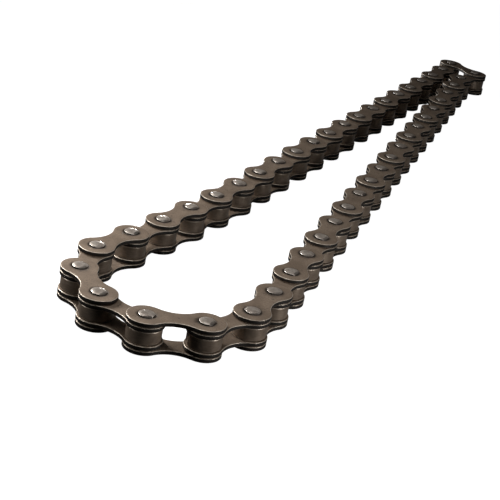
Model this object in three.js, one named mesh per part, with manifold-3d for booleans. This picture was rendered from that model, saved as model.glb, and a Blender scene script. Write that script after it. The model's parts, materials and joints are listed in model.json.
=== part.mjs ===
// Endless roller chain, half-inch pitch by eighth-inch wide, 46 links long. It lies on its side
// as a closed teardrop loop: two long strands that run together at the far end (+Y), and a round
// bend at the near end (-Y). Millimetres, +Z up, the floor at Z = 0.
//
// Pin n joins link n - 1 to link n, and link n runs from pin n to pin n + 1. Odd links are outer
// links (two plates riveted on two pins) and even links are inner links (two plates pressed on two
// bushings, each carrying a roller). The three links of the near bend are built piece by piece;
// the pieces of every other link are joined into one solid.
//
// The loop is open at pin 46: outer link 23 keeps only that pin's two ends, which stand in its
// plates, so that inner link 23 can swing out from between them.
import * as THREE from 'three';
import { mergeVertices } from 'three/addons/utils/BufferGeometryUtils.js';
import Module from 'manifold-3d';

const wasm = await Module();
wasm.setup();

// Driving dimensions of a link
const PITCH = 12.7;
const INNER_WIDTH = 3.3;
const PLATE_THICKNESS = 1.0;
const PLATE_END_RADIUS = 4.25;
const PLATE_WAIST_HALF = 2.35;
const ROLLER_RADIUS = 3.875;
const BUSHING_RADIUS = 2.5;
const PIN_RADIUS = 1.8;
const PIN_PROUD = 0.5;

// Clearances: sideways between inner and outer plates, at a roller's ends, around what turns,
// and around what is pressed in
const SIDE_GAP = 0.12;
const ROLLER_END_GAP = 0.1;
const RUNNING_GAP = 0.06;
const PRESSED_GAP = 0.03;

// The loop as it lies, in degrees, counter-clockwise positive. From pin 1 the first strand runs
// down straight, bows out a little, and turns through the near bend into the second strand.
const FIRST_HEADING = -93.5;
const STRAIGHT_PINS = 13;
const BOW_PINS = 5;
const BOW_TURN = -1.6;
const NEAR_BEND_TURNS = [23, 36, 32, 37, 37, 26, 3.8];
const LAST_PIN_TURN = -3.6;
const LINKS = 46;
const WALKED_LINKS = 43;

// Links 22, 23 and 24, which are built piece by piece
const FIRST_SEPARATE_LINK = 22;
const LAST_SEPARATE_LINK = 24;

// How finely the round shapes are faceted
const END_SEGMENTS = 6;
const WAIST_SEGMENTS = 2;
const PIN_SIDES = 8;
const JOINED_ROLLER_SIDES = 12;
const ROLLER_SIDES = 20;

// Heights of the stack, from the pins' lower ends up
const OUTER_LOW = PIN_PROUD;
const INNER_LOW = OUTER_LOW + PLATE_THICKNESS + SIDE_GAP;
const ROLLER_LOW = INNER_LOW + PLATE_THICKNESS;
const INNER_HIGH = ROLLER_LOW + INNER_WIDTH;
const OUTER_HIGH = INNER_HIGH + PLATE_THICKNESS + SIDE_GAP;
const PIN_TOP = OUTER_HIGH + PLATE_THICKNESS + PIN_PROUD;
const HALF_PLATE = PLATE_THICKNESS / 2;

const PLATE_COLOUR = 0x6b6056;
const PIN_COLOUR = 0xa79f94;
const BUSHING_COLOUR = 0x7c746a;
const ROLLER_COLOUR = 0x4b4139;

// A circle whose flats, not its corners, are at the given radius
const cornersAt = (flatRadius, sides) => flatRadius / Math.cos(Math.PI / sides);

function arc(centre, radius, fromDegrees, toDegrees, segments) {
  return Array.from({ length: segments + 1 }, (_, i) => {
    const degrees = fromDegrees + ((toDegrees - fromDegrees) * i) / segments;
    const angle = THREE.MathUtils.degToRad(degrees);
    return new THREE.Vector2(
      centre.x + radius * Math.cos(angle),
      centre.y + radius * Math.sin(angle),
    );
  });
}

const circle = (x, radius, sides) => arc({ x, y: 0 }, radius, 0, 360, sides).slice(0, sides);

// A plate's figure of eight: a round end about each pin, joined by hollow waists that touch them
function plateOutline() {
  const middle = PITCH / 2;
  const hollowRadius =
    (middle ** 2 + PLATE_WAIST_HALF ** 2 - PLATE_END_RADIUS ** 2) /
    (2 * (PLATE_END_RADIUS - PLATE_WAIST_HALF));
  const hollowCentre = PLATE_WAIST_HALF + hollowRadius;
  const touch = THREE.MathUtils.radToDeg(Math.atan2(hollowCentre, middle));
  const end = (x, from) =>
    arc({ x, y: 0 }, PLATE_END_RADIUS, from, from + 360 - 2 * touch, END_SEGMENTS);
  const hollow = (y, from) =>
    arc({ x: middle, y }, hollowRadius, from, from - 180 + 2 * touch, WAIST_SEGMENTS).slice(1, -1);
  return [
    ...end(0, touch),
    ...hollow(-hollowCentre, 180 - touch),
    ...end(PITCH, 180 + touch),
    ...hollow(hollowCentre, -touch),
  ];
}

// An upright prism from one height to another, with holes right through it
function prism(outline, low, high, holes = []) {
  const shape = new THREE.Shape(outline);
  shape.holes = holes.map((points) => new THREE.Path(points));
  const geometry = new THREE.ExtrudeGeometry(shape, { depth: high - low, bevelEnabled: false });
  return geometry.translate(0, 0, low);
}

function toSolid(geometry) {
  const bare = geometry.clone();
  bare.deleteAttribute('normal');
  bare.deleteAttribute('uv');
  const merged = mergeVertices(bare);
  return new wasm.Manifold(
    new wasm.Mesh({
      numProp: 3,
      vertProperties: new Float32Array(merged.attributes.position.array),
      triVerts: new Uint32Array(merged.index.array),
    }),
  );
}

function toGeometry(solid) {
  const mesh = solid.getMesh();
  const geometry = new THREE.BufferGeometry();
  geometry.setAttribute('position', new THREE.BufferAttribute(mesh.vertProperties, 3));
  geometry.setIndex(new THREE.BufferAttribute(mesh.triVerts, 1));
  geometry.computeVertexNormals();
  return geometry;
}

const joined = (geometries) => geometries.map(toSolid).reduce((all, next) => all.add(next));

const plate = (low, holes) => prism(plateOutline(), low, low + PLATE_THICKNESS, holes);

const pin = (x, low = 0, high = PIN_TOP) => prism(circle(x, PIN_RADIUS, PIN_SIDES), low, high);

// A pin's two ends alone, as far as the middle of each plate
const pinEnds = (x) => [pin(x, 0, OUTER_LOW + HALF_PLATE), pin(x, OUTER_HIGH + HALF_PLATE)];

const boreRadius = cornersAt(PIN_RADIUS + RUNNING_GAP, PIN_SIDES);

function joinedOuterLink(isOpen) {
  const secondPin = isOpen ? pinEnds(PITCH) : [pin(PITCH)];
  return toGeometry(joined([plate(OUTER_LOW), plate(OUTER_HIGH), pin(0), ...secondPin]));
}

// Each roller reaches half way into both plates here, which makes the link one solid
function joinedInnerLink() {
  const low = ROLLER_LOW - HALF_PLATE;
  const high = INNER_HIGH + HALF_PLATE;
  const rollers = [0, PITCH].map((x) =>
    prism(circle(x, ROLLER_RADIUS, JOINED_ROLLER_SIDES), low, high),
  );
  const bores = [0, PITCH].map((x) => prism(circle(x, boreRadius, PIN_SIDES), 0, PIN_TOP));
  const body = joined([plate(INNER_LOW), plate(INNER_HIGH), ...rollers]);
  return toGeometry(body.subtract(joined(bores)));
}

function bushing(x) {
  const outside = circle(x, BUSHING_RADIUS, ROLLER_SIDES);
  const bore = circle(x, boreRadius, PIN_SIDES);
  return prism(outside, INNER_LOW, INNER_HIGH + PLATE_THICKNESS, [bore]);
}

function roller(x) {
  const bore = circle(x, cornersAt(BUSHING_RADIUS + RUNNING_GAP, ROLLER_SIDES), ROLLER_SIDES);
  const outside = circle(x, ROLLER_RADIUS, ROLLER_SIDES);
  return prism(outside, ROLLER_LOW + ROLLER_END_GAP, INNER_HIGH - ROLLER_END_GAP, [bore]);
}

function named(name, geometry, color, roughness) {
  const material = new THREE.MeshStandardMaterial({ color, roughness, metalness: 1 });
  const mesh = new THREE.Mesh(geometry, material);
  mesh.name = name;
  return mesh;
}

const twoDigits = (n) => String(n).padStart(2, '0');

function outerPieces(number, firstPin) {
  const holes = [0, PITCH].map((x) => {
    const radius = cornersAt(PIN_RADIUS + PRESSED_GAP, PIN_SIDES);
    return circle(x, radius, PIN_SIDES);
  });
  return [
    named(`outer_plate_${number}_lower`, plate(OUTER_LOW, holes), PLATE_COLOUR, 0.5),
    named(`outer_plate_${number}_upper`, plate(OUTER_HIGH, holes), PLATE_COLOUR, 0.5),
    named(`pin_${twoDigits(firstPin)}`, pin(0), PIN_COLOUR, 0.35),
    named(`pin_${twoDigits(firstPin + 1)}`, pin(PITCH), PIN_COLOUR, 0.35),
  ];
}

function innerPieces(number, firstPin) {
  const holes = [0, PITCH].map((x) => {
    const radius = cornersAt(BUSHING_RADIUS + PRESSED_GAP, ROLLER_SIDES);
    return circle(x, radius, ROLLER_SIDES);
  });
  const turned = [0, 1].flatMap((end) => {
    const pinNumber = twoDigits(firstPin + end);
    return [
      named(`bushing_${pinNumber}`, bushing(end * PITCH), BUSHING_COLOUR, 0.4),
      named(`roller_${pinNumber}`, roller(end * PITCH), ROLLER_COLOUR, 0.4),
    ];
  });
  return [
    named(`inner_plate_${number}_lower`, plate(INNER_LOW, holes), PLATE_COLOUR, 0.5),
    named(`inner_plate_${number}_upper`, plate(INNER_HIGH, holes), PLATE_COLOUR, 0.5),
    ...turned,
  ];
}

// Link n in its own frame: pin n at the origin, pin n + 1 along +X
function link(n) {
  const isOuter = n % 2 === 1;
  const number = twoDigits(Math.ceil(n / 2));
  const group = new THREE.Group();
  group.name = `${isOuter ? 'outer' : 'inner'}_link_${number}`;
  if (n >= FIRST_SEPARATE_LINK && n <= LAST_SEPARATE_LINK) {
    group.add(...(isOuter ? outerPieces(number, n) : innerPieces(number, n)));
    return group;
  }
  const isOpen = n === LINKS - 1;
  const geometry = isOuter ? joinedOuterLink(isOpen) : joinedInnerLink();
  group.add(named(group.name, geometry, PLATE_COLOUR, 0.5));
  return group;
}

function step(heading) {
  const angle = THREE.MathUtils.degToRad(heading);
  return new THREE.Vector2(PITCH * Math.cos(angle), PITCH * Math.sin(angle));
}

// The pins' places: a walk of one pitch a link, then the fold at the far end. The last pin is set
// by its turn at pin 1, and the one before it is a pitch from both its neighbours.
function loopPins() {
  const turns = [
    ...Array(STRAIGHT_PINS).fill(0),
    ...Array(BOW_PINS).fill(BOW_TURN),
    ...NEAR_BEND_TURNS,
  ];
  const pins = [new THREE.Vector2(0, 0)];
  let heading = FIRST_HEADING;
  for (let n = 0; n < WALKED_LINKS; n += 1) {
    pins.push(pins[n].clone().add(step(heading)));
    heading += turns[n] ?? 0;
  }
  const walked = pins[WALKED_LINKS];
  const last = pins[0].clone().sub(step(FIRST_HEADING - LAST_PIN_TURN));
  const across = last.clone().sub(walked);
  const rise = Math.sqrt(PITCH ** 2 - (across.length() / 2) ** 2);
  const outwards = new THREE.Vector2(across.y, -across.x).setLength(rise);
  pins.push(walked.clone().add(last).divideScalar(2).add(outwards), last);
  return pins;
}

const chain = new THREE.Group();
chain.name = 'roller_chain';
const pins = loopPins();
pins.forEach((from, i) => {
  const to = pins[(i + 1) % LINKS];
  const placed = link(i + 1);
  placed.position.set(from.x, from.y, 0);
  placed.rotation.z = Math.atan2(to.y - from.y, to.x - from.x);
  chain.add(placed);
});

// The origin is on the floor under the middle of the whole loop
const middle = new THREE.Box3().setFromObject(chain, true).getCenter(new THREE.Vector3());
chain.position.set(-middle.x, -middle.y, 0);

export default chain;
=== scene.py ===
"""The looks of an endless roller chain, 46 links long, that lies on its side on a pale floor.

Every link is shown as what it is on the bench: two plates on two pins, or two plates on two
bushings with a roller on each. Pin n joins link n - 1 to link n. Odd links are outer links and
even links are inner links. All lengths are in metres.
"""

import json
import math

import bmesh
import bpy
from mathutils import Matrix, Quaternion, Vector


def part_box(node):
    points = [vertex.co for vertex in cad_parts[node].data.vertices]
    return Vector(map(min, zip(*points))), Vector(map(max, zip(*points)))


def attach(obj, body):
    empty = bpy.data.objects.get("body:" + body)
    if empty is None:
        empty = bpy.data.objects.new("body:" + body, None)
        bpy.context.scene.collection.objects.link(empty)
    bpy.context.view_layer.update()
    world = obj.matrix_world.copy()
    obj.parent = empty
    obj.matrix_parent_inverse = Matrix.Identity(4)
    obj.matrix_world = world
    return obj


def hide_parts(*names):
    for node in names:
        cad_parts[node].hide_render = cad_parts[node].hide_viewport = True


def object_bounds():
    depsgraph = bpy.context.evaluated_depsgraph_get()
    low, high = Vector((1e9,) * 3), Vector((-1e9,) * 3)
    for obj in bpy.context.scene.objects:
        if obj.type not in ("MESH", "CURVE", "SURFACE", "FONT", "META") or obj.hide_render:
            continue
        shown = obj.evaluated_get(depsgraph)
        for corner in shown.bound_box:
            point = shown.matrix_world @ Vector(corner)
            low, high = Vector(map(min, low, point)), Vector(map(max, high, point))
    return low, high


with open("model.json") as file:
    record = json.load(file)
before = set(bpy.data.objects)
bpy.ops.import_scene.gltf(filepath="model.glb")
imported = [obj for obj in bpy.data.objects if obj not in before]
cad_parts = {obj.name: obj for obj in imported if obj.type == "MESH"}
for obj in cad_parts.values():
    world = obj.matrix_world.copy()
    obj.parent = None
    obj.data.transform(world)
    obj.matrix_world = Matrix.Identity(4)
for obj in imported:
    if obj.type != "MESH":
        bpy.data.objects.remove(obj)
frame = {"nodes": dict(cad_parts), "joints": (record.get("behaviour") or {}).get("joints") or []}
CAD_LOW, CAD_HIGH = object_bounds()

MM = 0.001
LINKS = 46

# The loop is open at this pin, which has only its two ends
OPEN_PIN = 46

# The separate pieces of the near bend give the lowest and highest points of all the others
OUTER_LOWER = [corner.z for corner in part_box("outer_plate_12_lower")]
OUTER_UPPER = [corner.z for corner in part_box("outer_plate_12_upper")]
INNER_LOWER = [corner.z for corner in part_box("inner_plate_11_lower")]
INNER_UPPER = [corner.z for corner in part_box("inner_plate_11_upper")]
ROLLER = [corner.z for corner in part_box("roller_22")]
BUSHING = [corner.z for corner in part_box("bushing_22")]
PIN = [corner.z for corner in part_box("pin_23")]
PIN_LENGTH = PIN[1] - PIN[0]
PIN_PROUD = PIN[1] - OUTER_UPPER[1]

# The rollers of the near bend are bodies of their own
SINGLE_ROLLERS = range(22, 26)

PLATE_THICKNESS = OUTER_LOWER[1] - OUTER_LOWER[0]
PLATE_END_RADIUS = 4.25 * MM
PLATE_WAIST_HALF = 2.35 * MM
PLATE_FILLET = 0.15 * MM
PIN_RADIUS = 1.8 * MM
BUSHING_RADIUS = 2.5 * MM
ROLLER_RADIUS = 3.875 * MM
PRESSED_GAP = 0.01 * MM
RUNNING_GAP = 0.06 * MM

# The value that the materials read on each vertex is 1 where an edge is painted bright, partly as
# rubbed steel and partly as a painted highlight, and -1 where painted shade lies, on side walls and
# at a pin's foot. A plate's lower edge gets less of the bright paint than its upper one, as painted
# shade. Round each hole is a ring of painted contact shade, partly oil dirt, that fades by a high
# power. A pin's flat is painted darker, as shade.
UNDERSIDE_WEAR_AND_HIGHLIGHT = 0.25
RING_SHADE_AND_DIRT = -0.8
RING_POWER = 8
FLAT_SHADE = -0.45

# A pin's peened end: its rounded rim, its crown, and the flat that the riveting leaves on one side,
# which points a different way on each pin. Directions are in degrees, the golden angle in radians.
PIN_FILLET = 0.08 * MM
PIN_CROWN = 0.20 * MM
CROWN_POWER = 4
PIN_RIM_INSET = 0.06 * MM
FLAT_DISTANCE = 1.16 * MM
FLAT_SLOPE = 0.6
FLAT_HEADING = -32
FLAT_SWING = 24
GOLDEN_ANGLE = 2.4

ROLLER_FILLET = 0.28 * MM
BUSHING_FILLET = 0.12 * MM
HOLE_FILLET = 0.08 * MM

# Into how many steps each curve is divided
END_STEPS = 36
HOLLOW_STEPS = 8
WAIST_STEPS = 6
SURFACE_STEPS = 4
FILLET_STEPS = 4
CROWN_STEPS = 8
PIN_SIDES = 48
RING_SIDES = 72
MERGE_DISTANCE = 0.0005 * MM

# How much a large face counts in the shading of its corners, from 1 to 100
LARGE_FACE_WEIGHT = 80


# ---- Where the pins stand


def pin_places():
    """The places of all pins, in the floor's plane. Pin 46 has no joint: it is a pitch from both
    its neighbours, on the far side of the line between them."""
    joints = {joint["name"]: joint for joint in frame["joints"]}
    places = [Vector(joints[f"pivot_{n:02d}"]["pos_m"][:2]) for n in range(1, LINKS)]
    pitch = (places[1] - places[0]).length
    across = places[0] - places[-1]
    middle = (places[0] + places[-1]) / 2
    rise = math.sqrt(pitch**2 - (across.length / 2) ** 2)
    outwards = Vector((across.y, -across.x)).normalized()
    if outwards.y < 0:
        outwards.negate()
    places.append(middle + outwards * rise)
    return places, pitch


PINS, PITCH = pin_places()
MIDDLE = PITCH / 2


def link_name(n):
    return f"{'outer' if n % 2 else 'inner'}_link_{(n + 1) // 2:02d}"


def heading(n):
    """The direction of link n, from pin n to the next pin, in radians."""
    along = PINS[n % LINKS] - PINS[n - 1]
    return math.atan2(along.y, along.x)


# ---- Meshes


def between(start, end, steps):
    """Evenly spaced values from start to end, with both of them."""
    return [start + (end - start) * i / steps for i in range(steps + 1)]


def fillet(height, radius, painted_wall_shade=0.0, up=1):
    """A quarter round from a flat face to a wall: (inset from the wall, height, wear and painted
    light). Its middle is painted brightest, partly as edge wear and partly as a painted highlight;
    its end on the wall gets the wall's value, which below 0 is painted shade."""
    rows = []
    angles = between(0, math.pi / 2, FILLET_STEPS)
    for angle in angles:
        inset = radius * (1 - math.sin(angle))
        drop = radius * (1 - math.cos(angle))
        wear_and_painted_light = painted_wall_shade if angle == angles[-1] else math.sqrt(math.sin(2 * angle))
        rows.append((inset, height - up * drop, wear_and_painted_light))
    return rows


def half_outline(inset):
    """One half of a plate's outline: a waist, the round end about the pin, and the other waist."""
    hollow_radius = (MIDDLE**2 + PLATE_WAIST_HALF**2 - PLATE_END_RADIUS**2) / (
        2 * (PLATE_END_RADIUS - PLATE_WAIST_HALF)
    )
    hollow_centre = PLATE_WAIST_HALF + hollow_radius
    touch = math.atan2(hollow_centre, MIDDLE)
    waist = [
        (
            MIDDLE + (hollow_radius + inset) * math.cos(angle),
            hollow_centre + (hollow_radius + inset) * math.sin(angle),
        )
        for angle in between(-math.pi / 2, touch - math.pi, HOLLOW_STEPS)[:-1]
    ]
    radius = PLATE_END_RADIUS - inset
    end = [
        (radius * math.cos(angle), radius * math.sin(angle))
        for angle in between(touch, math.tau - touch, END_STEPS)
    ]
    return waist + end + [(x, -y) for x, y in reversed(waist)]


def add_row(bm, wear_and_light_layer, points, height, wear_and_painted_light):
    """A row of new vertices at one height, all with the same value of wear and painted light."""
    row = []
    for x, y in points:
        vertex = bm.verts.new((x, y, height))
        vertex[wear_and_light_layer] = wear_and_painted_light
        row.append(vertex)
    return row


def bridge(bm, first, second, closed):
    """Quads between two rows of as many vertices."""
    count = len(first)
    for i in range(count if closed else count - 1):
        j = (i + 1) % count
        bm.faces.new((first[i], first[j], second[j], second[i]))


def circle_like(points, radius):
    """The points of a circle that lie in the same directions as the given points."""
    scaled = [Vector(point).normalized() * radius for point in points]
    return [(point.x, point.y) for point in scaled]


def plate_surface(bm, wear_and_light_layer, rim, height, hole_radius):
    """A plate's flat face on one half, from its rim to its hole. Returns the row at the hole."""
    low, high = rim[-1].co.y, rim[0].co.y
    waist = [(MIDDLE, y) for y in between(low, high, WAIST_STEPS)[1:-1]]
    outer = rim + add_row(bm, wear_and_light_layer, waist, height, 0)
    corners = [(vertex.co.x, vertex.co.y) for vertex in outer]
    hole = circle_like(corners, hole_radius)
    rows = [outer]
    for share in between(0, 1, SURFACE_STEPS)[1:]:
        points = [
            (x + (hx - x) * share, y + (hy - y) * share)
            for (x, y), (hx, hy) in zip(corners, hole)
        ]
        # Towards the hole a ring is painted dark, as contact shade and partly oil dirt
        rows.append(add_row(bm, wear_and_light_layer, points, height, RING_SHADE_AND_DIRT * share**RING_POWER))
    for first, second in zip(rows, rows[1:]):
        bridge(bm, first, second, closed=True)
    return rows[-1]


def finish_mesh(bm, name, material):
    """A smooth mesh from the bmesh, with its seams merged and its faces outwards."""
    bmesh.ops.remove_doubles(bm, verts=bm.verts, dist=MERGE_DISTANCE)
    bmesh.ops.recalc_face_normals(bm, faces=bm.faces)
    mesh = bpy.data.meshes.new(name)
    bm.to_mesh(mesh)
    bm.free()
    mesh.shade_smooth()
    mesh.materials.append(material)
    return mesh


def plate_mesh(name, hole_radius, material):
    """A plate with both its holes, from pin to pin along X, standing on Z = 0."""
    bm = bmesh.new()
    wear_and_light_layer = bm.verts.layers.float.new("wear_and_painted_light")
    # The plate's side wall is painted dark as shade
    top = fillet(PLATE_THICKNESS, PLATE_FILLET, painted_wall_shade=-1)
    # The lower edge is painted less bright than the upper one, as painted shade
    bottom = [
        (inset, height, min(wear_and_painted_light, UNDERSIDE_WEAR_AND_HIGHLIGHT))
        for inset, height, wear_and_painted_light in fillet(0, PLATE_FILLET, painted_wall_shade=-1, up=-1)
    ]
    rows = [
        add_row(bm, wear_and_light_layer, half_outline(inset), height, wear_and_painted_light)
        for inset, height, wear_and_painted_light in top + bottom[::-1]
    ]
    for first, second in zip(rows, rows[1:]):
        bridge(bm, first, second, closed=False)
    mouth = hole_radius + HOLE_FILLET
    upper = plate_surface(bm, wear_and_light_layer, rows[0], PLATE_THICKNESS, mouth)
    lower = plate_surface(bm, wear_and_light_layer, rows[-1], 0, mouth)
    directions = [(vertex.co.x, vertex.co.y) for vertex in upper]
    bore = [
        add_row(bm, wear_and_light_layer, circle_like(directions, hole_radius), height, 0)
        for height in (PLATE_THICKNESS - HOLE_FILLET, HOLE_FILLET)
    ]
    for first, second in ((upper, bore[0]), (bore[0], bore[1]), (bore[1], lower)):
        bridge(bm, first, second, closed=True)
    half = bm.verts[:] + bm.edges[:] + bm.faces[:]
    copy = bmesh.ops.duplicate(bm, geom=half)["geom"]
    for item in copy:
        if isinstance(item, bmesh.types.BMVert):
            item.co.x = PITCH - item.co.x
    return finish_mesh(bm, name, material)


def lathe(name, profile, sides, material):
    """A closed profile of (radius, height, wear and painted light) turned about Z. A radius of 0
    is the axis.
    """
    bm = bmesh.new()
    wear_and_light_layer = bm.verts.layers.float.new("wear_and_painted_light")
    turns = [math.tau * i / sides for i in range(sides)]
    rows = []
    for radius, height, wear_and_painted_light in profile:
        points = [(radius * math.cos(turn), radius * math.sin(turn)) for turn in turns]
        rows.append(add_row(bm, wear_and_light_layer, points, height, wear_and_painted_light))
    is_ring = profile[0][0] > 0
    for first, second in zip(rows, rows[1:] + rows[:1] if is_ring else rows[1:]):
        bridge(bm, first, second, closed=True)
    return finish_mesh(bm, name, material)


def ring_profile(inner, outer, length, radius):
    """A ring's section with rounded outer corners and small chamfers in its bore."""
    # The rounded corners' middles are painted bright, partly as burnish and partly as a painted
    # highlight
    upper = [(outer - inset, height, wear_and_painted_light) for inset, height, wear_and_painted_light in fillet(length, radius)]
    lower = [(rim, length - height, wear_and_painted_light) for rim, height, wear_and_painted_light in reversed(upper)]
    return [
        (inner, HOLE_FILLET, 0),
        (inner, length - HOLE_FILLET, 0),
        (inner + HOLE_FILLET, length, 0),
        *upper,
        *lower,
        (inner + HOLE_FILLET, 0, 0),
    ]


def pin_end_profile():
    """A pin's section from the middle of its upper plate to the top of its crown."""
    rim = PIN_RADIUS - PIN_RIM_INSET
    plate_top = PIN_LENGTH - PIN_PROUD
    wall = [
        (rim - inset, height, wear_and_painted_light)
        for inset, height, wear_and_painted_light in fillet(PIN_LENGTH - PIN_CROWN, PIN_FILLET, painted_wall_shade=-1)
    ]
    crown = [
        ((rim - PIN_FILLET) * share, PIN_LENGTH - PIN_CROWN * share**CROWN_POWER, 0)
        for share in between(1, 0, CROWN_STEPS)[1:]
    ]
    # The shank is painted dark as shade where it leaves the plate, and so is the head's side wall
    shank = [(PIN_RADIUS, plate_top - PLATE_THICKNESS / 2, 0), (PIN_RADIUS, plate_top, -1)]
    return shank + wall[::-1] + crown


def turned_over(profile):
    """The same section at a pin's other end."""
    return [(radius, PIN_LENGTH - height, wear_and_painted_light) for radius, height, wear_and_painted_light in reversed(profile)]


def pin_mesh(name, profile, material):
    """A pin that stands on Z = 0, or one end of it, with a sloped flat cut on each end, which is
    painted darker as shade.
    """
    mesh = lathe(name, profile, PIN_SIDES, material)
    wear_and_painted_light = mesh.attributes["wear_and_painted_light"].data
    for vertex in mesh.vertices:
        above = max(vertex.co.z - (PIN_LENGTH - PIN_PROUD), PIN_PROUD - vertex.co.z)
        over = vertex.co.x - (FLAT_DISTANCE + FLAT_SLOPE * (PIN_PROUD - above))
        if above > 0 and over > 0:
            vertex.co.x -= over
            wear_and_painted_light[vertex.index].value = FLAT_SHADE
    return mesh


# ---- Materials

# How far a piece's texture is shifted at most, in millimetres
TEXTURE_SHIFT = 400.0

# The part of a noise's range that is stretched to reach from 0 to 1
PATCH_LOW = 0.35
PATCH_HIGH = 0.65

# A Mix node has sockets for each kind of data; these are its factor and those for colours
MIX_FACTOR = 0
MIX_FIRST = 6
MIX_SECOND = 7
MIX_RESULT = 2


class Shader:
    """A Principled material and short ways to add nodes to it."""

    def __init__(self, name, metallic, roughness):
        self.material = bpy.data.materials.new(name)
        self.material.use_nodes = True
        self.tree = self.material.node_tree
        self.surface = self.tree.nodes["Principled BSDF"]
        self.surface.inputs["Metallic"].default_value = metallic
        self.surface.inputs["Roughness"].default_value = roughness
        self.place = self.millimetres()

    def add(self, kind, inputs=None, **settings):
        node = self.tree.nodes.new(kind)
        for key, value in settings.items():
            setattr(node, key, value)
        for key, value in (inputs or {}).items():
            self.put(node.inputs[key], value)
        return node

    def put(self, socket, value):
        if isinstance(value, bpy.types.NodeSocket):
            self.tree.links.new(value, socket)
        else:
            socket.default_value = value

    def millimetres(self):
        """The piece's own coordinates in millimetres, shifted differently on each piece."""
        own = self.add("ShaderNodeTexCoord").outputs["Object"]
        random = self.add("ShaderNodeObjectInfo").outputs["Random"]
        shift = self.maths("MULTIPLY", random, TEXTURE_SHIFT)
        scaled = self.stretched(own, (1 / MM,) * 3)
        return self.add("ShaderNodeVectorMath", {0: scaled, 1: shift}).outputs[0]

    def stretched(self, place, scale):
        """Coordinates multiplied by a factor for each axis."""
        inputs = {0: place, 1: scale}
        return self.add("ShaderNodeVectorMath", inputs, operation="MULTIPLY").outputs[0]

    def maths(self, operation, first, second):
        return self.add("ShaderNodeMath", {0: first, 1: second}, operation=operation).outputs[0]

    def noise(self, size, detail=3.0, place=None):
        """Noise from 0 to 1 whose patches are about as wide as size, in millimetres."""
        inputs = {"Vector": place or self.place, "Scale": 1 / size, "Detail": detail}
        return self.add("ShaderNodeTexNoise", inputs).outputs["Fac"]

    def patches(self, size, detail=3.0, place=None):
        """Noise with more contrast, so that it reaches both 0 and 1."""
        return self.ramp(self.noise(size, detail, place), PATCH_LOW, PATCH_HIGH)

    def ramp(self, value, low, high, to_low=0.0, to_high=1.0):
        inputs = {
            "Value": value,
            "From Min": low,
            "From Max": high,
            "To Min": to_low,
            "To Max": to_high,
        }
        return self.add("ShaderNodeMapRange", inputs).outputs["Result"]

    def mix(self, factor, first, second):
        """A colour between two others. A plain colour is given as red, green and blue."""
        node = self.add("ShaderNodeMix", data_type="RGBA")
        self.put(node.inputs[MIX_FACTOR], factor)
        for index, value in ((MIX_FIRST, first), (MIX_SECOND, second)):
            colour = value if isinstance(value, bpy.types.NodeSocket) else (*value, 1.0)
            self.put(node.inputs[index], colour)
        return node.outputs[MIX_RESULT]

    # Edge wear, painted highlights and painted shade, as stored on the vertices
    def wear_and_painted_light(self):
        return self.add("ShaderNodeAttribute", attribute_name="wear_and_painted_light").outputs["Fac"]

    # Where edges are painted bright, partly as wear and partly as a painted highlight
    def bare_and_highlight(self):
        return self.ramp(self.wear_and_painted_light(), 0, 1)

    # Where painted shade lies: side walls, pins' feet and flats, and rings round the holes, partly
    # oil dirt
    def shade_and_dirt(self):
        return self.ramp(self.wear_and_painted_light(), 0, -1)

    def bump(self, height, depth):
        """Bumps from a 0 to 1 height, as deep as depth in millimetres."""
        inputs = {"Height": height, "Strength": 1.0, "Distance": depth * MM}
        normal = self.add("ShaderNodeBump", inputs).outputs["Normal"]
        self.put(self.surface.inputs["Normal"], normal)

    def base(self, colour):
        self.put(self.surface.inputs["Base Color"], colour)


def plate_steel():
    """Heat-blackened brown steel: mottled and finely pitted. Its edges are painted bright, partly
    as bare steel and partly as a painted highlight. Its side walls are painted dark as shade, and
    the rings round its holes as contact shade, partly oil dirt.
    """
    dark_brown = (0.230, 0.169, 0.120)
    light_brown = (0.348, 0.263, 0.192)
    grain_brown = (0.200, 0.150, 0.112)
    pit_black = (0.09, 0.07, 0.055)
    shade_and_dirt_black = (0.020, 0.016, 0.013)
    bare_steel_and_highlight = (0.74, 0.65, 0.54)
    grain_strength = 0.7
    pit_depth = 0.8
    polish = 0.22
    shader = Shader("plate_steel", metallic=0.5, roughness=0.58)
    cloud = shader.patches(size=5.0, detail=2.0)
    grain = shader.patches(size=0.32, detail=4.0)
    level = shader.ramp(shader.noise(size=0.75), low=0.31, high=0.38)
    pits = shader.ramp(level, 0, 1, to_low=0.6, to_high=0.0)
    colour = shader.mix(cloud, dark_brown, light_brown)
    colour = shader.mix(shader.maths("MULTIPLY", grain, grain_strength), colour, grain_brown)
    colour = shader.mix(pits, colour, pit_black)
    # Painted shade on the side walls, and in the rings round the holes partly oil dirt
    colour = shader.mix(shader.shade_and_dirt(), colour, shade_and_dirt_black)
    scratches = shader.ramp(shader.noise(size=0.9, detail=4.0), low=0.32, high=0.6, to_low=0.4)
    # Edges painted bright, partly as wear and partly as a painted highlight
    wear_and_highlight = shader.maths("MULTIPLY", shader.bare_and_highlight(), scratches)
    shader.base(shader.mix(wear_and_highlight, colour, bare_steel_and_highlight))
    unworn = shader.ramp(grain, 0, 1, to_low=0.53, to_high=0.62)
    roughness = shader.maths("SUBTRACT", unworn, shader.maths("MULTIPLY", wear_and_highlight, polish))
    shader.put(shader.surface.inputs["Roughness"], roughness)
    relief = shader.maths("ADD", grain, shader.maths("MULTIPLY", level, pit_depth))
    shader.bump(relief, depth=0.006)
    return shader.material


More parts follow.
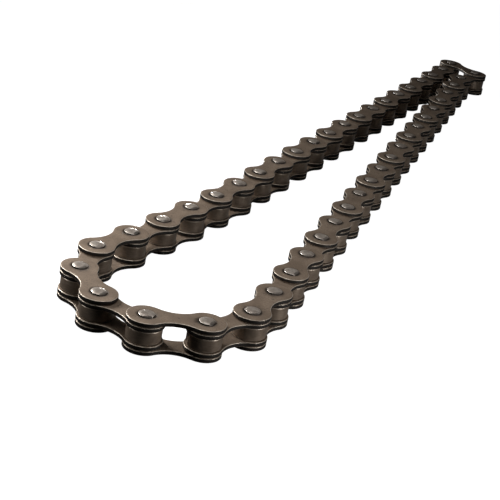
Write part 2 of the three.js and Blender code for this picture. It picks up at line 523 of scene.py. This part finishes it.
def pin_steel():
    """Bright riveted ends with a faint straw tint and hammered grain. Their rims are painted
    bright, partly as wear and partly as a painted highlight; their side walls, feet and flats are
    painted dark as shade.
    """
    dark_straw = (0.56, 0.47, 0.40)
    light_straw = (0.84, 0.75, 0.66)
    grain_brown = (0.42, 0.35, 0.29)
    shade_and_dirt_black = (0.018, 0.014, 0.012)
    bare_steel_and_highlight = (0.90, 0.83, 0.75)
    grain_strength = 0.4
    shader = Shader("pin_steel", metallic=0.7, roughness=0.34)
    cloud = shader.patches(size=1.4)
    grain = shader.patches(size=0.25)
    colour = shader.mix(cloud, dark_straw, light_straw)
    colour = shader.mix(shader.maths("MULTIPLY", grain, grain_strength), colour, grain_brown)
    # Painted shade on the heads' side walls, feet and flats
    colour = shader.mix(shader.shade_and_dirt(), colour, shade_and_dirt_black)
    # Rims painted bright, partly as wear and partly as a painted highlight
    shader.base(shader.mix(shader.bare_and_highlight(), colour, bare_steel_and_highlight))
    shader.bump(shader.noise(size=0.9, detail=2.0), depth=0.06)
    return shader.material


def roller_steel():
    """Dark oiled steel with fine turning lines round it. Its edges are painted bright, partly as
    burnish and partly as a painted highlight.
    """
    dark_brown = (0.215, 0.162, 0.120)
    light_brown = (0.340, 0.262, 0.198)
    line_brown = (0.150, 0.112, 0.084)
    bare_steel_and_highlight = (0.58, 0.50, 0.41)
    line_strength = 0.45
    burnish_and_highlight_strength = 0.7
    round_the_axis = (0.12, 0.12, 1.0)
    shader = Shader("roller_steel", metallic=0.45, roughness=0.38)
    lines = shader.patches(0.16, 2.0, shader.stretched(shader.place, round_the_axis))
    cloud = shader.patches(size=2.6)
    colour = shader.mix(cloud, dark_brown, light_brown)
    colour = shader.mix(shader.maths("MULTIPLY", lines, line_strength), colour, line_brown)
    # Edges painted bright, partly as burnish and partly as a painted highlight
    burnish_and_highlight = shader.maths("MULTIPLY", shader.bare_and_highlight(), burnish_and_highlight_strength)
    shader.base(shader.mix(burnish_and_highlight, colour, bare_steel_and_highlight))
    shader.bump(lines, depth=0.004)
    return shader.material


def bushing_steel():
    """Ground steel under a film of oil."""
    dark_grey = (0.27, 0.24, 0.21)
    light_grey = (0.36, 0.32, 0.28)
    bare_steel_and_highlight = (0.60, 0.55, 0.49)
    shader = Shader("bushing_steel", metallic=0.8, roughness=0.34)
    colour = shader.mix(shader.patches(size=1.5), dark_grey, light_grey)
    # Edges painted bright, partly as wear and partly as a painted highlight
    shader.base(shader.mix(shader.bare_and_highlight(), colour, bare_steel_and_highlight))
    shader.bump(shader.noise(size=0.3), depth=0.004)
    return shader.material


# ---- Pieces


def place_piece(name, mesh, pin, height, body, stands_for, turn=0.0):
    """One piece, with its mesh's origin at this height over a pin's place."""
    piece = bpy.data.objects.new(name, mesh)
    bpy.context.scene.collection.objects.link(piece)
    spot = Vector((*PINS[pin - 1], height))
    piece.matrix_world = Matrix.Translation(spot) @ Matrix.Rotation(turn, 4, "Z")
    weighted = piece.modifiers.new("weighted", "WEIGHTED_NORMAL")
    weighted.weight = LARGE_FACE_WEIGHT
    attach(piece, body)
    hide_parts(stands_for)


def node_for(separate, n):
    """The CAD node that a piece of link n stands for: its own, or its link's joined one."""
    return separate if separate in frame["nodes"] else link_name(n)


def place_plates(n, mesh, heights):
    """Both plates of link n, in a copy of the mesh that is turned to lie along the link."""
    kind = "outer" if n % 2 else "inner"
    turned = mesh.copy()
    turned.transform(Matrix.Rotation(heading(n), 4, "Z"))
    for side, (low, _) in zip(("lower", "upper"), heights):
        node = node_for(f"{kind}_plate_{(n + 1) // 2:02d}_{side}", n)
        name = f"link_plate_{n:02d}_{side}"
        place_piece(name, turned, n, low, link_name(n), node)


def pin_turn(pin):
    """Where the flat of a pin's ends points, a little different on each pin."""
    return math.radians(FLAT_HEADING + FLAT_SWING * math.sin(GOLDEN_ANGLE * pin))


def place_outer_links(plate_finish, pin_finish):
    """Two plates on two pins each."""
    plate_shape = plate_mesh("outer_plate", PIN_RADIUS + PRESSED_GAP, plate_finish)
    upper = pin_end_profile()
    shapes = {"": pin_mesh("riveted_pin", turned_over(upper) + upper, pin_finish)}
    upper_alone = [(0, upper[0][1], 0)] + upper
    ends = {
        "_lower": pin_mesh("lower_pin_end", turned_over(upper_alone), pin_finish),
        "_upper": pin_mesh("upper_pin_end", upper_alone, pin_finish),
    }
    for n in range(1, LINKS + 1, 2):
        place_plates(n, plate_shape, (OUTER_LOWER, OUTER_UPPER))
        for number in (n, n + 1):
            node = node_for(f"pin_{number:02d}", n)
            for suffix, shape in (ends if number == OPEN_PIN else shapes).items():
                name = f"rivet_{number:02d}{suffix}"
                place_piece(
                    name, shape, number, PIN[0], link_name(n), node, pin_turn(number)
                )


def place_inner_links(plate_finish, bushing_finish, roller_finish):
    """Two plates on two bushings each, with a roller on each bushing."""
    plate_shape = plate_mesh("inner_plate", BUSHING_RADIUS + PRESSED_GAP, plate_finish)
    bushing_section = ring_profile(
        PIN_RADIUS + RUNNING_GAP, BUSHING_RADIUS, BUSHING[1] - BUSHING[0], BUSHING_FILLET
    )
    roller_section = ring_profile(
        BUSHING_RADIUS + RUNNING_GAP, ROLLER_RADIUS, ROLLER[1] - ROLLER[0], ROLLER_FILLET
    )
    bushing_shape = lathe("bushing", bushing_section, RING_SIDES, bushing_finish)
    roller_shape = lathe("roller", roller_section, RING_SIDES, roller_finish)
    for n in range(2, LINKS + 1, 2):
        place_plates(n, plate_shape, (INNER_LOWER, INNER_UPPER))
        body = link_name(n)
        for pin in (n, n % LINKS + 1):
            node = node_for(f"bushing_{pin:02d}", n)
            place_piece(
                f"bush_{pin:02d}", bushing_shape, pin, BUSHING[0], body, node
            )
            node = node_for(f"roller_{pin:02d}", n)
            rides = node if pin in SINGLE_ROLLERS else body
            place_piece(
                f"chain_roller_{pin:02d}", roller_shape, pin, ROLLER[0], rides, node
            )


# ---- Stage

CAMERA_AIM = Vector((8.0 * MM, CAD_LOW.y + 50.2 * MM, CAD_HIGH.z))
CAMERA_AZIMUTH = math.radians(18.2)
CAMERA_ELEVATION = math.radians(23.1)
CAMERA_ROLL = math.radians(10.73)
CAMERA_DISTANCE = 311 * MM
CAMERA_LENS = 94.9
CAMERA_CLIP = 10 * MM

FLOOR_HALF = 3.0
FLOOR_GAP = 0.02 * MM
FLOOR_GREY = 0.3
FLOOR_ROUGHNESS = 0.9

# The room's brightness, by how far up a direction points, from -1 to 1
ROOM_DIM = 0.003
ROOM_BRIGHT = 0.045
ROOM_DIM_BELOW = 0.05
ROOM_BRIGHT_ABOVE = 0.65

# What is added to it low behind the chain
BACK_GLOW = 0.12
BACK_GLOW_ABOVE = 0.02
BACK_GLOW_BELOW = -0.12


def add_camera():
    """Looks down the loop from in front of its near bend, a little from the right."""
    back = Vector(
        (
            math.sin(CAMERA_AZIMUTH) * math.cos(CAMERA_ELEVATION),
            -math.cos(CAMERA_AZIMUTH) * math.cos(CAMERA_ELEVATION),
            math.sin(CAMERA_ELEVATION),
        )
    )
    rolled = Quaternion((0, 0, 1), CAMERA_ROLL)
    camera = bpy.data.objects.new("camera", bpy.data.cameras.new("camera"))
    camera.data.lens = CAMERA_LENS
    camera.data.clip_start = CAMERA_CLIP
    camera.rotation_mode = "QUATERNION"
    camera.location = CAMERA_AIM + back * CAMERA_DISTANCE
    camera.rotation_quaternion = (-back).to_track_quat("-Z", "Y") @ rolled
    bpy.context.scene.collection.objects.link(camera)
    bpy.context.scene.camera = camera


def add_floor():
    """A floor as white as the backdrop, which the steel neither mirrors nor is lit by."""
    bm = bmesh.new()
    bmesh.ops.create_grid(bm, x_segments=1, y_segments=1, size=FLOOR_HALF)
    mesh = bpy.data.meshes.new("floor")
    bm.to_mesh(mesh)
    bm.free()
    material = bpy.data.materials.new("pale_floor")
    material.use_nodes = True
    surface = material.node_tree.nodes["Principled BSDF"]
    surface.inputs["Base Color"].default_value = (FLOOR_GREY, FLOOR_GREY, FLOOR_GREY, 1)
    surface.inputs["Roughness"].default_value = FLOOR_ROUGHNESS
    surface.inputs["Emission Color"].default_value = (1, 1, 1, 1)
    surface.inputs["Emission Strength"].default_value = 1.0
    mesh.materials.append(material)
    floor = bpy.data.objects.new("floor", mesh)
    floor.location.z = CAD_LOW.z - FLOOR_GAP
    floor.visible_glossy = False
    floor.visible_diffuse = False
    bpy.context.scene.collection.objects.link(floor)


def add_softbox(name, place, aim, size, power):
    """A square area light that the camera doesn't see. Its power is in watts."""
    light = bpy.data.lights.new(name, "AREA")
    light.size = size
    light.energy = power
    lamp = bpy.data.objects.new(name, light)
    lamp.location = place
    lamp.rotation_mode = "QUATERNION"
    lamp.rotation_quaternion = (aim - place).to_track_quat("-Z", "Y")
    lamp.visible_camera = False
    bpy.context.scene.collection.objects.link(lamp)


def add_surroundings():
    """A soft room for the steel to mirror, and a white backdrop. The room is dim below and brighter
    above. Low behind the chain it is light, which reaches only what faces away from the camera."""
    world = bpy.data.worlds.new("studio")
    world.use_nodes = True
    nodes, links = world.node_tree.nodes, world.node_tree.links
    split = nodes.new("ShaderNodeSeparateXYZ")
    links.new(nodes.new("ShaderNodeTexCoord").outputs["Generated"], split.inputs[0])

    def by_direction(axis, start, end, low, high):
        """A smooth step from low to high, as the direction's part along an axis goes up."""
        ramp = nodes.new("ShaderNodeMapRange")
        ramp.interpolation_type = "SMOOTHSTEP"
        for name, value in (
            ("From Min", start),
            ("From Max", end),
            ("To Min", low),
            ("To Max", high),
        ):
            ramp.inputs[name].default_value = value
        links.new(split.outputs[axis], ramp.inputs["Value"])
        return ramp.outputs["Result"]

    glow = nodes.new("ShaderNodeMath")
    glow.operation = "MULTIPLY_ADD"
    links.new(by_direction("Y", 0, 1, 0, BACK_GLOW), glow.inputs[0])
    links.new(by_direction("Z", BACK_GLOW_ABOVE, BACK_GLOW_BELOW, 0, 1), glow.inputs[1])
    links.new(
        by_direction("Z", ROOM_DIM_BELOW, ROOM_BRIGHT_ABOVE, ROOM_DIM, ROOM_BRIGHT), glow.inputs[2]
    )
    room = nodes["Background"]
    room.inputs["Color"].default_value = (1, 1, 1, 1)
    links.new(glow.outputs[0], room.inputs["Strength"])
    backdrop = nodes.new("ShaderNodeBackground")
    backdrop.inputs["Color"].default_value = (1, 1, 1, 1)
    mix = nodes.new("ShaderNodeMixShader")
    path = nodes.new("ShaderNodeLightPath")
    links.new(path.outputs["Is Camera Ray"], mix.inputs[0])
    links.new(room.outputs[0], mix.inputs[1])
    links.new(backdrop.outputs[0], mix.inputs[2])
    links.new(mix.outputs[0], nodes["World Output"].inputs["Surface"])
    bpy.context.scene.world = world
    bpy.context.scene.view_settings.view_transform = "Standard"


def add_lights():
    """A low key on the left, a weaker light for the far left strand, an overhead fill, and small
    cards low at the chain's sides, which light the rollers and the plates' rims more than their
    tops."""
    near_bend = Vector((0, CAD_LOW.y + 20 * MM, CAD_HIGH.z))
    right_strand = near_bend + Vector((18, 70, 0)) * MM
    far_left_strand = near_bend + Vector((-10, 210, 0)) * MM
    key = near_bend + Vector((-115, 35, 74)) * MM
    fill = near_bend + Vector((0, -10, 105)) * MM
    side = near_bend + Vector((-70, 135, 75)) * MM
    left = near_bend + Vector((-120, -60, 35)) * MM
    right = near_bend + Vector((150, 0, 6)) * MM
    back = near_bend + Vector((-120, 270, 0)) * MM - Vector((0, 0, CAD_HIGH.z / 2))
    add_softbox("key_softbox", key, near_bend, size=40 * MM, power=0.190)
    add_softbox("overhead_softbox", fill, near_bend, size=60 * MM, power=0.045)
    add_softbox("side_softbox", side, far_left_strand, size=35 * MM, power=0.032)
    add_softbox("left_card", left, near_bend, size=50 * MM, power=0.06)
    add_softbox("right_card", right, right_strand, size=50 * MM, power=0.13)
    add_softbox("back_card", back, far_left_strand, size=8 * MM, power=0.12)


add_camera()
add_floor()
add_surroundings()
add_lights()
plate_finish = plate_steel()
place_outer_links(plate_finish, pin_steel())
place_inner_links(plate_finish, bushing_steel(), roller_steel())
